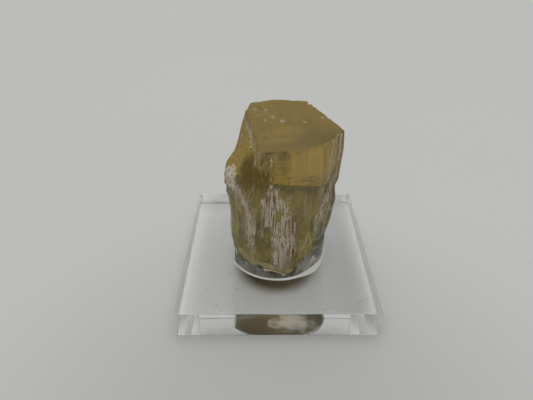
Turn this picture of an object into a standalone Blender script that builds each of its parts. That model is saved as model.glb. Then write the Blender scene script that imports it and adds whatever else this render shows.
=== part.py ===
"""Fluorapatite crystal on a square clear acrylic base.

Three solids, in metres, +Z up. The origin is the centre of the base's underside, and the
crystal faces -Y. Heights in the crystal's own dimensions are measured from the base's top.
"""

import math
import random

import bmesh
import bpy
from mathutils import Vector

MM = 0.001

# Driving dimensions of the base, a square cut from 8 mm sheet
SLAB_SIDE = 50 * MM
SLAB_THICKNESS = 8 * MM
SLAB_EDGE_BREAK = 0.2 * MM

# Driving dimensions of the round cradle that holds the crystal's broken end
CRADLE_RADIUS = 13.2 * MM
CRADLE_CENTRE = (0.0 * MM, -0.7 * MM)
CRADLE_FLAT_X = -11.7 * MM
CRADLE_SEGMENTS = 96
CRADLE_BLANK_HEIGHT = 12 * MM
GLUE_GAP = 0.3 * MM

# Driving dimensions of the crystal, in millimetres above the base's top
CRYSTAL_TOP = 37.8
TOP_TILT = 0.035  # rise of the top face for each millimetre towards the back
TOP_TILT_Y = -1.5  # the top face is CRYSTAL_TOP high along this line
CRYSTAL_BLANK_BOTTOM = -3.0
LEVEL_STEP = 0.9
COLUMN_STEP = 1.1

# The ten long edges of the prism, anticlockwise from the right, as (height, x, y) in mm.
# Between them lie the prism's faces, each with its ridges' relief in mm.
PRISM_EDGES = {
    "right": (
        (38, 14.6, -4.6), (33, 14.9, -4.4), (28, 14.7, -4.3), (23.9, 14.5, -4.3),
        (23.3, 13.9, -4.2), (19, 14.5, -4.2), (15, 14.1, -4.2), (11, 13.5, -4.0),
        (8, 12.9, -3.9), (4, 12.1, -3.8), (-4, 10.8, -3.6),
    ),
    "back_right": (
        (38, 7.4, 11.0), (25, 7.6, 11.2), (15, 7.2, 10.8), (8, 6.6, 10.0), (-4, 6.0, 9.2),
    ),
    "back": (
        (38, -0.6, 11.9), (25, -0.6, 12.0), (15, -0.8, 11.4), (8, -1.0, 10.8), (-4, -1.0, 10.2),
    ),
    "back_left": (
        (38, -6.7, 10.0), (30, -7.4, 10.3), (25, -8.4, 10.2), (15, -8.6, 9.6),
        (8, -8.2, 9.0), (-4, -7.8, 8.4),
    ),
    "left_back": (
        (38, -7.8, 5.2), (35.5, -8.7, 4.6), (32, -9.6, 4.0), (28.8, -10.7, 3.0),
        (26.2, -12.8, 1.8), (23, -13.6, 0.8), (19.5, -13.1, 0.5), (15.2, -12.3, 0.5),
        (12, -12.2, 0.3), (9, -12.5, 0.2), (5, -12.4, 0.0), (-4, -12.0, -0.2),
    ),
    "left_front": (
        (38, -5.6, -5.0), (35.5, -6.9, -5.1), (32, -8.7, -5.2), (28.5, -10.4, -5.2),
        (26.0, -12.0, -5.0), (22, -12.7, -5.2), (19, -11.8, -5.3), (15, -11.5, -5.4),
        (9, -11.8, -5.6), (5, -11.5, -5.6), (-4, -10.9, -5.6),
    ),
    "left_corner": (
        (38, -4.7, -9.8), (33, -6.4, -9.9), (28.5, -8.3, -9.9), (24, -9.8, -9.9),
        (19, -9.7, -10.0), (13, -9.6, -10.0), (5, -9.9, -9.8), (-4, -9.4, -9.4),
    ),
    "front_left": (
        (38, -3.8, -14.3), (33, -4.6, -14.1), (28.5, -5.4, -13.9), (22, -6.2, -13.8),
        (15, -6.6, -13.6), (8, -6.8, -12.8), (-4, -6.8, -12.0),
    ),
    "front": (
        (38, 3.6, -13.7), (25, 3.2, -13.6), (10, 2.7, -13.5), (-4, 2.4, -13.3),
    ),
    "front_right": (
        (38, 8.9, -10.9), (33, 9.1, -10.9), (23, 8.9, -10.9), (15, 8.7, -10.9),
        (8, 8.3, -10.7), (-4, 7.6, -10.5),
    ),
}
FACE_RELIEF = {
    "right": 0.20,
    "back_right": 0.22,
    "back": 0.26,
    "back_left": 0.24,
    "left_back": 0.34,
    "left_front": 0.26,
    "left_corner": 0.24,
    "front_left": 0.16,
    "front": 0.12,
    "front_right": 0.30,
}
WEATHERED_BELOW = 22.0  # the prism is etched and splintered under this height
WEATHERED_FACTOR = 1.7
RIDGE_LENGTH = (3.0, 11.0)
RIDGE_CREST = 0.5  # ridges are worn down to this share of the relief, and grooves aren't
EDGE_RELIEF = 0.35  # the prism's long edges are straighter than the faces between them
FEWEST_COLUMNS = 3
RIDGE_SEED = 41

# The broken lower end: its height in mm across the crystal, lowest towards the front
BREAK_PROFILE = (
    (-22, 6.2), (-11.6, 5.3), (-9.8, 3.4), (-5.7, 4.2), (-0.6, 2.3), (2.4, 1.3),
    (4.3, 2.0), (5.3, 4.0), (6.9, 5.6), (9.5, 6.1), (12.5, 6.8), (22, 8.0),
)
BREAK_ROWS_Y = (-22, -12.5, -9, -5, -1, 3, 7, 22)
BREAK_RISE_BACK = 0.03
BREAK_FRONT_Y = -12.5
BREAK_HACKLE = 0.35
BREAK_BLOCK_HEIGHT = 40 * MM
BREAK_SEED = 5

# Etch pits in the top face and chips out of its front edge: x, y, width and depth in mm
TOP_PITS = (
    (-5.4, 6.3, 1.9, 0.5), (-2.9, 6.2, 1.7, 0.45), (-1.5, 2.2, 1.5, 0.5), (1.0, 0.0, 2.2, 0.6),
    (6.0, -0.5, 1.2, 0.4), (10.4, 1.7, 1.4, 0.4), (7.6, 9.6, 1.6, 0.5), (-4.3, 3.6, 1.3, 0.4),
    (-3.2, 0.4, 1.1, 0.35),
)
EDGE_CHIPS = (
    (3.8, -13.9, 2.3, 0.9), (-0.8, -14.3, 2.0, 0.7), (-3.9, -14.5, 1.5, 0.8),
    (9.2, -11.2, 1.3, 0.6), (14.8, -4.7, 1.2, 0.7),
)
PIT_SIDES = 6
PIT_FLOOR = 0.35  # a pit's floor and its mouth, as shares of its width at half depth
PIT_MOUTH = 1.65
PIT_DEPTH_ACROSS = 0.8  # a pit is shorter front to back than it is wide
PIT_UNEVENNESS = (0.75, 1.15)
PIT_SEED = 12


def clear_scene() -> None:
    """Removes every object, so that only the part is left."""
    for obj in list(bpy.data.objects):
        bpy.data.objects.remove(obj, do_unlink=True)


def make_material(name: str, colour: tuple, roughness: float, ior: float) -> bpy.types.Material:
    """A clear material for one sub-part."""
    material = bpy.data.materials.new(name)
    material.use_nodes = True
    shader = material.node_tree.nodes["Principled BSDF"]
    shader.inputs["Base Color"].default_value = (*colour, 1.0)
    shader.inputs["Roughness"].default_value = roughness
    shader.inputs["Metallic"].default_value = 0.0
    shader.inputs["IOR"].default_value = ior
    return material


def add_object(name: str, mesh_source: bmesh.types.BMesh) -> bpy.types.Object:
    """Turns the bmesh into a named object of the scene."""
    mesh = bpy.data.meshes.new(name)
    mesh_source.to_mesh(mesh)
    mesh_source.free()
    obj = bpy.data.objects.new(name, mesh)
    bpy.context.scene.collection.objects.link(obj)
    return obj


def cut_away(obj: bpy.types.Object, cutter: bpy.types.Object) -> None:
    """Takes the hidden cutter's volume out of the object."""
    cutter.hide_render = True
    cutter.display_type = "WIRE"
    modifier = obj.modifiers.new(cutter.name, "BOOLEAN")
    modifier.operation = "DIFFERENCE"
    modifier.solver = "EXACT"
    modifier.object = cutter


def interpolate(points: tuple, at: float) -> tuple:
    """The values beside the first number of each point, read at that number."""
    ordered = sorted(points)
    if at <= ordered[0][0]:
        return ordered[0][1:]
    for low, high in zip(ordered, ordered[1:]):
        if at <= high[0]:
            share = (at - low[0]) / (high[0] - low[0])
            return tuple(a + (b - a) * share for a, b in zip(low[1:], high[1:]))
    return ordered[-1][1:]


def top_height(y: float) -> float:
    """Height of the slightly tilted top face at this depth, in mm."""
    return CRYSTAL_TOP + TOP_TILT * (y - TOP_TILT_Y)


def build_slab() -> bpy.types.Object:
    """The square base, with its polished edges just broken."""
    bm = bmesh.new()
    bmesh.ops.create_cube(bm, size=1.0)
    bmesh.ops.scale(bm, vec=(SLAB_SIDE, SLAB_SIDE, SLAB_THICKNESS), verts=bm.verts)
    bmesh.ops.translate(bm, vec=(0, 0, SLAB_THICKNESS / 2), verts=bm.verts)
    slab = add_object("acrylic_base", bm)
    edges = slab.modifiers.new("edge_break", "BEVEL")
    edges.width = SLAB_EDGE_BREAK
    edges.segments = 2
    slab.data.materials.append(make_material("clear_acrylic", (0.86, 0.9, 0.9), 0.05, 1.49))
    return slab


def break_height(x: float, y: float, rng: random.Random) -> float:
    """Height of the crystal's broken end at a point, in mm, with a hackly random part."""
    (height,) = interpolate(BREAK_PROFILE, x)
    behind = max(0.0, y - BREAK_FRONT_Y)
    return height + BREAK_RISE_BACK * behind + BREAK_HACKLE * rng.uniform(-1, 1) * (behind > 0)


def rim_of(grid: list) -> list:
    """The vertices round the outside of a rectangular grid, in order."""
    right = [row[-1] for row in grid[1:]]
    left = [row[0] for row in reversed(grid[1:-1])]
    return [*grid[0], *right, *reversed(grid[-1][:-1]), *left]


def build_break_block(name: str, side: int, drop: float) -> bpy.types.Object:
    """A block bounded by the broken surface: below it for side -1, above it for side 1.

    Both blocks share the surface's points, so the cradle's seat follows the crystal's end.
    """
    rng = random.Random(BREAK_SEED)
    far = SLAB_THICKNESS + side * BREAK_BLOCK_HEIGHT
    bm = bmesh.new()
    surface = []
    cap = []
    for y in BREAK_ROWS_Y:
        heights = [break_height(x, y, rng) for x, _ in BREAK_PROFILE]
        surface.append([
            bm.verts.new((x * MM, y * MM, SLAB_THICKNESS + z * MM - drop))
            for (x, _), z in zip(BREAK_PROFILE, heights)
        ])
        cap.append([bm.verts.new((x * MM, y * MM, far)) for x, _ in BREAK_PROFILE])
    for grid in (surface, cap):
        for row, next_row in zip(grid, grid[1:]):
            for i in range(len(row) - 1):
                bm.faces.new((row[i], row[i + 1], next_row[i + 1]))
                bm.faces.new((row[i], next_row[i + 1], next_row[i]))
    inner, outer = rim_of(surface), rim_of(cap)
    for i in range(len(inner)):
        j = (i + 1) % len(inner)
        bm.faces.new((inner[i], inner[j], outer[j], outer[i]))
    bmesh.ops.recalc_face_normals(bm, faces=bm.faces)
    return add_object(name, bm)


def build_cradle() -> bpy.types.Object:
    """The round clear cradle, flat on its left, with its top cut to the crystal's end."""
    bm = bmesh.new()
    outline = []
    for i in range(CRADLE_SEGMENTS):
        angle = 2 * math.pi * i / CRADLE_SEGMENTS
        x = CRADLE_CENTRE[0] + CRADLE_RADIUS * math.cos(angle)
        y = CRADLE_CENTRE[1] + CRADLE_RADIUS * math.sin(angle)
        if x > CRADLE_FLAT_X:
            outline.append((x, y))
    bottom = SLAB_THICKNESS + GLUE_GAP
    low = [bm.verts.new((x, y, bottom)) for x, y in outline]
    face = bm.faces.new(low)
    raised = bmesh.ops.extrude_face_region(bm, geom=[face])
    top = [v for v in raised["geom"] if isinstance(v, bmesh.types.BMVert)]
    bmesh.ops.translate(bm, vec=(0, 0, CRADLE_BLANK_HEIGHT), verts=top)
    bmesh.ops.recalc_face_normals(bm, faces=bm.faces)
    cradle = add_object("acrylic_cradle", bm)
    cut_away(cradle, build_break_block("seat_cutter", 1, GLUE_GAP))
    cradle.data.materials.append(make_material("clear_cradle", (0.84, 0.87, 0.86), 0.08, 1.49))
    return cradle


def face_columns(names: list) -> list:
    """The columns round the prism, as (edge, next edge, share of the way between them)."""
    columns = []
    for name, following in zip(names, names[1:] + names[:1]):
        start = Vector(interpolate(PRISM_EDGES[name], CRYSTAL_TOP / 2))
        end = Vector(interpolate(PRISM_EDGES[following], CRYSTAL_TOP / 2))
        count = max(FEWEST_COLUMNS, round((end - start).length / COLUMN_STEP))
        columns += [(name, following, i / count) for i in range(count)]
    return columns


def ridge_stretches(rng: random.Random) -> list:
    """One column's ridges from the bottom up, as (height where it ends, relief from -1 to 1)."""
    stretches = []
    height = CRYSTAL_BLANK_BOTTOM
    while height < top_height(PRISM_EDGES["back"][0][2]):
        height += rng.uniform(*RIDGE_LENGTH)
        stretches.append((height, rng.uniform(-1, 1)))
    return stretches


def prism_point(column: tuple, stretches: list, height: float) -> Vector:
    """A point of the striated prism, in mm."""
    name, following, share = column
    start = Vector(interpolate(PRISM_EDGES[name], height))
    end = Vector(interpolate(PRISM_EDGES[following], height))
    flat = start.lerp(end, share)
    along = (end - start).normalized()
    outward = Vector((along.y, -along.x))
    relief = next(value for limit, value in stretches if height <= limit)
    depth = FACE_RELIEF[name] * (WEATHERED_FACTOR if height < WEATHERED_BELOW else 1.0)
    if share == 0.0:
        depth *= EDGE_RELIEF
    inset = min(relief, RIDGE_CREST) * depth
    return flat + outward * inset


def build_prism() -> bmesh.types.BMesh:
    """The striated hexagonal prism as a closed blank that runs below its broken end."""
    rng = random.Random(RIDGE_SEED)
    names = list(PRISM_EDGES)
    columns = face_columns(names)
    ridges = [ridge_stretches(rng) for _ in columns]
    rows = math.ceil((CRYSTAL_TOP - CRYSTAL_BLANK_BOTTOM) / LEVEL_STEP)
    bm = bmesh.new()
    grid = []
    for row in range(rows + 1):
        ring = []
        for column, stretches in zip(columns, ridges):
            height = CRYSTAL_BLANK_BOTTOM + (CRYSTAL_TOP - CRYSTAL_BLANK_BOTTOM) * row / rows
            point = prism_point(column, stretches, height)
            if row == rows:
                height = top_height(point.y)
            ring.append(bm.verts.new((point.x * MM, point.y * MM, SLAB_THICKNESS + height * MM)))
        grid.append(ring)
    for ring, above in zip(grid, grid[1:]):
        for i in range(len(ring)):
            j = (i + 1) % len(ring)
            bm.faces.new((ring[i], ring[j], above[j], above[i]))
    bm.faces.new(grid[-1])
    bm.faces.new(list(reversed(grid[0])))
    return bm


def build_pits() -> bpy.types.Object:
    """Six-sided etch pits and edge chips, joined in one cutter."""
    rng = random.Random(PIT_SEED)
    bm = bmesh.new()
    for x, y, width, depth in (*TOP_PITS, *EDGE_CHIPS):
        floor = SLAB_THICKNESS + (top_height(y) - depth) * MM
        mouth = SLAB_THICKNESS + (top_height(y) + depth) * MM
        turn = rng.uniform(0, math.pi / 3)
        low = []
        high = []
        for i in range(PIT_SIDES):
            angle = turn + 2 * math.pi * i / PIT_SIDES
            reach = width / 2 * rng.uniform(*PIT_UNEVENNESS)
            middle = Vector((x, y))
            side = Vector((math.cos(angle), math.sin(angle) * PIT_DEPTH_ACROSS)) * reach
            inner = (middle + side * PIT_FLOOR) * MM
            outer = (middle + side * PIT_MOUTH) * MM
            low.append(bm.verts.new((*inner, floor)))
            high.append(bm.verts.new((*outer, mouth)))
        for i in range(PIT_SIDES):
            j = (i + 1) % PIT_SIDES
            bm.faces.new((low[i], low[j], high[j], high[i]))
        bm.faces.new(high)
        bm.faces.new(list(reversed(low)))
    bmesh.ops.recalc_face_normals(bm, faces=bm.faces)
    return add_object("pit_cutter", bm)


def build_crystal() -> bpy.types.Object:
    """The crystal: a striated prism, a pitted flat top and a broken lower end."""
    crystal = add_object("apatite_crystal", build_prism())
    cut_away(crystal, build_break_block("break_cutter", -1, 0.0))
    cut_away(crystal, build_pits())
    crystal.data.materials.append(make_material("apatite", (0.42, 0.36, 0.16), 0.15, 1.63))
    return crystal


def main() -> None:
    """Builds the part."""
    clear_scene()
    build_slab()
    build_cradle()
    build_crystal()


main()
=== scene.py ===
"""Looks of a fluorapatite crystal on its clear acrylic base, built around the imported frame."""

from __future__ import annotations

import logging
import math
from dataclasses import dataclass, field
from enum import Enum, IntEnum
from typing import Callable

import bmesh
import bpy
from mathutils import Matrix, Vector, noise
from mathutils.bvhtree import BVHTree


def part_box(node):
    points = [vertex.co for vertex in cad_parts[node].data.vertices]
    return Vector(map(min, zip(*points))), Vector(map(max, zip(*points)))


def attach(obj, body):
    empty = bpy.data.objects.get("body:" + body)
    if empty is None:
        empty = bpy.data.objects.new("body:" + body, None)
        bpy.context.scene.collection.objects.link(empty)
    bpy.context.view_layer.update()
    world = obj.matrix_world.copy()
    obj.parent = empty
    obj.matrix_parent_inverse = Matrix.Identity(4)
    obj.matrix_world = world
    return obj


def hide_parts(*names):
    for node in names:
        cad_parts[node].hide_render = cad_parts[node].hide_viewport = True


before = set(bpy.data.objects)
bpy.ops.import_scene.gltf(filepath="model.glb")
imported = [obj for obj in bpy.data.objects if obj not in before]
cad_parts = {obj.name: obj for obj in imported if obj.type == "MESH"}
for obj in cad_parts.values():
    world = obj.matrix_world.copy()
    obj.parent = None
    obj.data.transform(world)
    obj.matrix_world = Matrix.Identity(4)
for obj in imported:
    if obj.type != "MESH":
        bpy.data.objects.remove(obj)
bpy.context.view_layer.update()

LOG = logging.getLogger("apatite")
MM = 0.001
ROOT = "root"
Point = tuple[float, float, float]
Colour = tuple[float, float, float]

# Where the base's top lies, and how far clear pieces reach into each other. Light then passes
# from one to the next as through a film of glue, not through a slit of air.
SLAB_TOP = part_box("acrylic_base")[1].z
GLUE_FILM = 0.3 * MM
CONTACT_OVERLAP = 0.02 * MM


class Deposit(Enum):
    """What a patch on the crystal's surface is made of."""

    ETCHED = "etched"
    RUSTY = "rusty"
    HAZE = "haze"
    BROWN = "brown"
    OLIVE = "olive"


class CrystalPart(IntEnum):
    """The finishes of the crystal's faces, in the order of its materials."""

    CLEAR = 0
    CLOUDY = 1
    BROKEN = 2


class SlabPart(IntEnum):
    """The finishes of the slab's faces, in the order of its materials."""

    FLAT = 0
    POLISHED = 1
    GLUED = 2
    SAWN = 3


# ---------- shader helpers ----------
class Nodes:
    """A node tree with short calls for adding nodes and linking them."""

    def __init__(self, tree: bpy.types.NodeTree) -> None:
        """Keeps the tree.

        Args:
            tree: the material's or group's node tree.
        """
        self.tree = tree

    def add(self, kind: str, settings: dict | None = None, **inputs: object) -> bpy.types.Node:
        """Adds a node and fills or links its inputs.

        Args:
            kind: the node's bl_idname.
            settings: properties of the node itself.
            inputs: socket names, with underscores for spaces, and values or output sockets.

        Returns:
            The new node.
        """
        node = self.tree.nodes.new(kind)
        for key, value in (settings or {}).items():
            setattr(node, key, value)
        for key, value in inputs.items():
            self.put(node, key.replace("_", " "), value)
        return node

    def put(self, node: bpy.types.Node, name: str | int, value: object) -> None:
        """Sets or links one input.

        Args:
            node: the node that has the input.
            name: the input's name or index.
            value: a value, which is a Colour where the input is one, or the output socket
                that feeds it.
        """
        socket = node.inputs[name]
        if isinstance(value, bpy.types.NodeSocket):
            self.tree.links.new(value, socket)
        else:
            socket.default_value = (*value, 1.0) if socket.type == "RGBA" else value

    def attribute(self, name: str) -> bpy.types.NodeSocket:
        """The value of one of the mesh's own attributes."""
        return self.add("ShaderNodeAttribute", {"attribute_name": name}).outputs["Fac"]

    def place(self) -> bpy.types.NodeSocket:
        """The place on the piece, in metres."""
        return self.add("ShaderNodeTexCoord").outputs["Object"]

    def vector(self, operation: str, first: object, second: object) -> bpy.types.NodeSocket:
        """A Vector Math node's result.

        Args:
            operation: the node's operation, such as ADD or DISTANCE.
            first: a vector or socket.
            second: a vector or socket.

        Returns:
            The output socket: a number for DISTANCE, and otherwise a vector.
        """
        node = self.add("ShaderNodeVectorMath", {"operation": operation})
        self.put(node, 0, first)
        self.put(node, 1, second)
        return node.outputs["Value" if operation == "DISTANCE" else "Vector"]

    def math(self, operation: str, first: object, second: object = 0.0) -> bpy.types.NodeSocket:
        """A Math node's result.

        Args:
            operation: the node's operation, such as MULTIPLY.
            first: a value or socket.
            second: a value or socket.

        Returns:
            The output socket.
        """
        node = self.add("ShaderNodeMath", {"operation": operation})
        self.put(node, 0, first)
        self.put(node, 1, second)
        return node.outputs[0]

    def ramp(self, value: object, low: float, high: float) -> bpy.types.NodeSocket:
        """A smooth step from 0 at low to 1 at high.

        Args:
            value: the socket to read.
            low: where the step starts.
            high: where it ends.

        Returns:
            The output socket.
        """
        node = self.add("ShaderNodeMapRange", {"interpolation_type": "SMOOTHSTEP"})
        for name, number in (("Value", value), ("From Min", low), ("From Max", high)):
            self.put(node, name, number)
        return node.outputs["Result"]

    def blend(self, share: object, first: object, second: object) -> bpy.types.NodeSocket:
        """A mix of two colours.

        Args:
            share: how much of the second colour.
            first: a colour or socket.
            second: a colour or socket.

        Returns:
            The output socket.
        """
        node = self.add("ShaderNodeMix", {"data_type": "RGBA"}, Factor=share)
        self.put(node, 6, first)
        self.put(node, 7, second)
        return node.outputs[2]


def new_group(name: str, inputs: dict[str, float], outputs: dict[str, str]) -> Nodes:
    """Starts a shader node group with named sockets.

    Args:
        name: the group's name.
        inputs: float inputs and their defaults.
        outputs: output names and their socket types.

    Returns:
        The group's tree, with its input and output nodes added.
    """
    tree = bpy.data.node_groups.new(name, "ShaderNodeTree")
    for key, value in inputs.items():
        socket = tree.interface.new_socket(key, in_out="INPUT", socket_type="NodeSocketFloat")
        socket.default_value = value
    for key, kind in outputs.items():
        tree.interface.new_socket(key, in_out="OUTPUT", socket_type=kind)
    nodes = Nodes(tree)
    nodes.add("NodeGroupInput")
    nodes.add("NodeGroupOutput")
    return nodes


def make_long_grain() -> bpy.types.NodeTree:
    """Grain that runs along Z: a mask of stretched noise.

    Returns:
        The node group. Fineness is in features a metre, and Stretch is their length in widths.
    """
    group = new_group(
        "long_grain",
        {"Fineness": 1000.0, "Stretch": 12.0, "Low": 0.4, "High": 0.6, "Offset": 0.0},
        {"Mask": "NodeSocketFloat"},
    )
    given = group.tree.nodes["Group Input"].outputs
    along = group.math("DIVIDE", given["Fineness"], given["Stretch"])
    scale = group.add("ShaderNodeCombineXYZ", X=given["Fineness"], Y=given["Fineness"], Z=along)
    stretched = group.vector("MULTIPLY", group.place(), scale.outputs[0])
    moved = group.vector("ADD", stretched, given["Offset"])
    grain = group.add("ShaderNodeTexNoise", Vector=moved, Scale=1.0, Detail=4.0)
    mask = group.ramp(grain.outputs["Fac"], given["Low"], given["High"])
    group.put(group.tree.nodes["Group Output"], "Mask", mask)
    return group.tree


def make_fine_relief() -> bpy.types.NodeTree:
    """A fine even relief, as a normal, for surfaces that aren't quite smooth.

    Returns:
        The node group. Fineness is in features a metre, and Height is in metres.
    """
    group = new_group(
        "fine_relief",
        {"Fineness": 1000.0, "Height": 0.00001, "Strength": 0.5},
        {"Normal": "NodeSocketVector", "Mask": "NodeSocketFloat"},
    )
    given = group.tree.nodes["Group Input"].outputs
    grain = group.add(
        "ShaderNodeTexNoise", Vector=group.place(), Scale=given["Fineness"], Detail=3.0,
    )
    bump = group.add(
        "ShaderNodeBump", Height=grain.outputs["Fac"], Distance=given["Height"],
        Strength=given["Strength"],
    )
    result = group.tree.nodes["Group Output"]
    group.put(result, "Normal", bump.outputs["Normal"])
    group.put(result, "Mask", grain.outputs["Fac"])
    return group.tree


LONG_GRAIN = make_long_grain()
FINE_RELIEF = make_fine_relief()


def start_material(name: str, **fixed: float) -> tuple[bpy.types.Material, Nodes, bpy.types.Node]:
    """A new material with its Principled shader.

    Args:
        name: the material's name.
        fixed: the shader's values that are the same all over the surface, with underscores
            for spaces.

    Returns:
        The material, its nodes and the shader.
    """
    material = bpy.data.materials.new(name)
    material.use_nodes = True
    nodes = Nodes(material.node_tree)
    shader = material.node_tree.nodes["Principled BSDF"]
    for key, value in fixed.items():
        nodes.put(shader, key.replace("_", " "), value)
    return material, nodes, shader


def place_group(nodes: Nodes, group: bpy.types.NodeTree, **values: float) -> bpy.types.Node:
    """Puts a node group in a material with its own values.

    Args:
        nodes: the material's nodes.
        group: the node group.
        values: its inputs.

    Returns:
        The group node.
    """
    node = nodes.tree.nodes.new("ShaderNodeGroup")
    node.node_tree = group
    for key, value in values.items():
        nodes.put(node, key, value)
    return node


def long_grain(nodes: Nodes, **values: float) -> bpy.types.NodeSocket:
    """The mask of a long grain, placed in a material with its own values."""
    return place_group(nodes, LONG_GRAIN, **values).outputs["Mask"]


def darken(colour: Colour, share: float) -> Colour:
    """A colour with every channel scaled by a share."""
    return tuple(channel * share for channel in colour)


# ---------- finishes ----------
@dataclass(frozen=True)
class ApatiteFinish:
    """Yellow-green clear crystal, stained and slightly frosted along its grain.

    Absorption takes most of the blue over the crystal's width, and least of the red.
    """

    name: str = "apatite_clear"
    ior: float = 1.63
    transmission: float = 0.93
    tint: Colour = (0.82, 0.66, 0.22)
    stain: Colour = (0.58, 0.42, 0.12)
    fleck: Colour = (0.86, 0.76, 0.42)
    flecked: float = 0.4
    # The tint low down, where the cloudy part has one of its own, and where it changes.
    foot: Colour | None = None
    foot_low: float = 12 * MM
    foot_high: float = 25 * MM
    absorption_colour: Colour = (0.69, 0.56, 0.04)
    absorption_density: float = 64.0
    clear_roughness: float = 0.06
    frosted_roughness: float = 0.42
    least_cloud: float = 0.45
    least_stain: float = 0.15
    line_depth: float = 0.08 * MM

    def make(self) -> bpy.types.Material:
        """Builds the material.

        Returns:
            The material, with its absorption as the volume.
        """
        material, nodes, shader = start_material(
            self.name, IOR=self.ior, Transmission_Weight=self.transmission,
        )
        frost = nodes.attribute("frost")
        grain = long_grain(nodes, Fineness=1700.0, Stretch=14.0, Low=0.35, High=0.7)
        cloud = nodes.math("MULTIPLY", frost, nodes.math("ADD", grain, self.least_cloud))
        rough = nodes.add(
            "ShaderNodeMapRange", Value=cloud,
            To_Min=self.clear_roughness, To_Max=self.frosted_roughness,
        )
        nodes.put(shader, "Roughness", rough.outputs["Result"])
        stain = long_grain(nodes, Fineness=520.0, Stretch=6.0, Low=0.42, High=0.72, Offset=3.0)
        streak = nodes.math("MULTIPLY", stain, nodes.math("ADD", frost, self.least_stain))
        tint = self.tint
        if self.foot:
            place = nodes.place()
            height = nodes.add("ShaderNodeSeparateXYZ", Vector=place).outputs["Z"]
            tint = nodes.blend(nodes.ramp(height, self.foot_low, self.foot_high), self.foot, tint)
        flecks = long_grain(nodes, Fineness=1500.0, Stretch=8.0, Low=0.46, High=0.62, Offset=17.0)
        flecked = nodes.math("MULTIPLY", frost, self.flecked)
        light = nodes.math("MULTIPLY", flecks, flecked)
        tint = nodes.blend(light, tint, self.fleck)
        nodes.put(shader, "Base Color", nodes.blend(streak, tint, self.stain))
        lines = long_grain(nodes, Fineness=2300.0, Stretch=14.0, Low=0.3, High=0.7)
        bump = nodes.add("ShaderNodeBump", Height=lines, Distance=self.line_depth, Strength=frost)
        nodes.put(shader, "Normal", bump.outputs["Normal"])
        volume = nodes.add(
            "ShaderNodeVolumeAbsorption",
            Color=self.absorption_colour, Density=self.absorption_density,
        )
        out = material.node_tree.nodes["Material Output"]
        nodes.tree.links.new(volume.outputs["Volume"], out.inputs["Volume"])
        return material


CLEAR_APATITE = ApatiteFinish()
CLOUDY_APATITE = ApatiteFinish(
    name="apatite_cloudy",
    transmission=0.88,
    tint=(0.42, 0.34, 0.095),
    stain=(0.22, 0.15, 0.045),
    fleck=(0.80, 0.70, 0.32),
    flecked=0.75,
    foot=(0.86, 0.78, 0.34),
    absorption_colour=(0.66, 0.58, 0.06),
    absorption_density=64.0,
    clear_roughness=0.12,
    frosted_roughness=0.5,
)
# The broken end lies in the cradle, so its index is that of apatite against acrylic.
BROKEN_APATITE = ApatiteFinish(
    name="apatite_broken",
    ior=1.094,
    transmission=0.74,
    tint=(0.86, 0.66, 0.30),
    stain=(0.60, 0.42, 0.16),
    absorption_colour=(0.66, 0.58, 0.06),
    absorption_density=64.0,
    clear_roughness=0.15,
    frosted_roughness=0.5,
)


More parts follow.
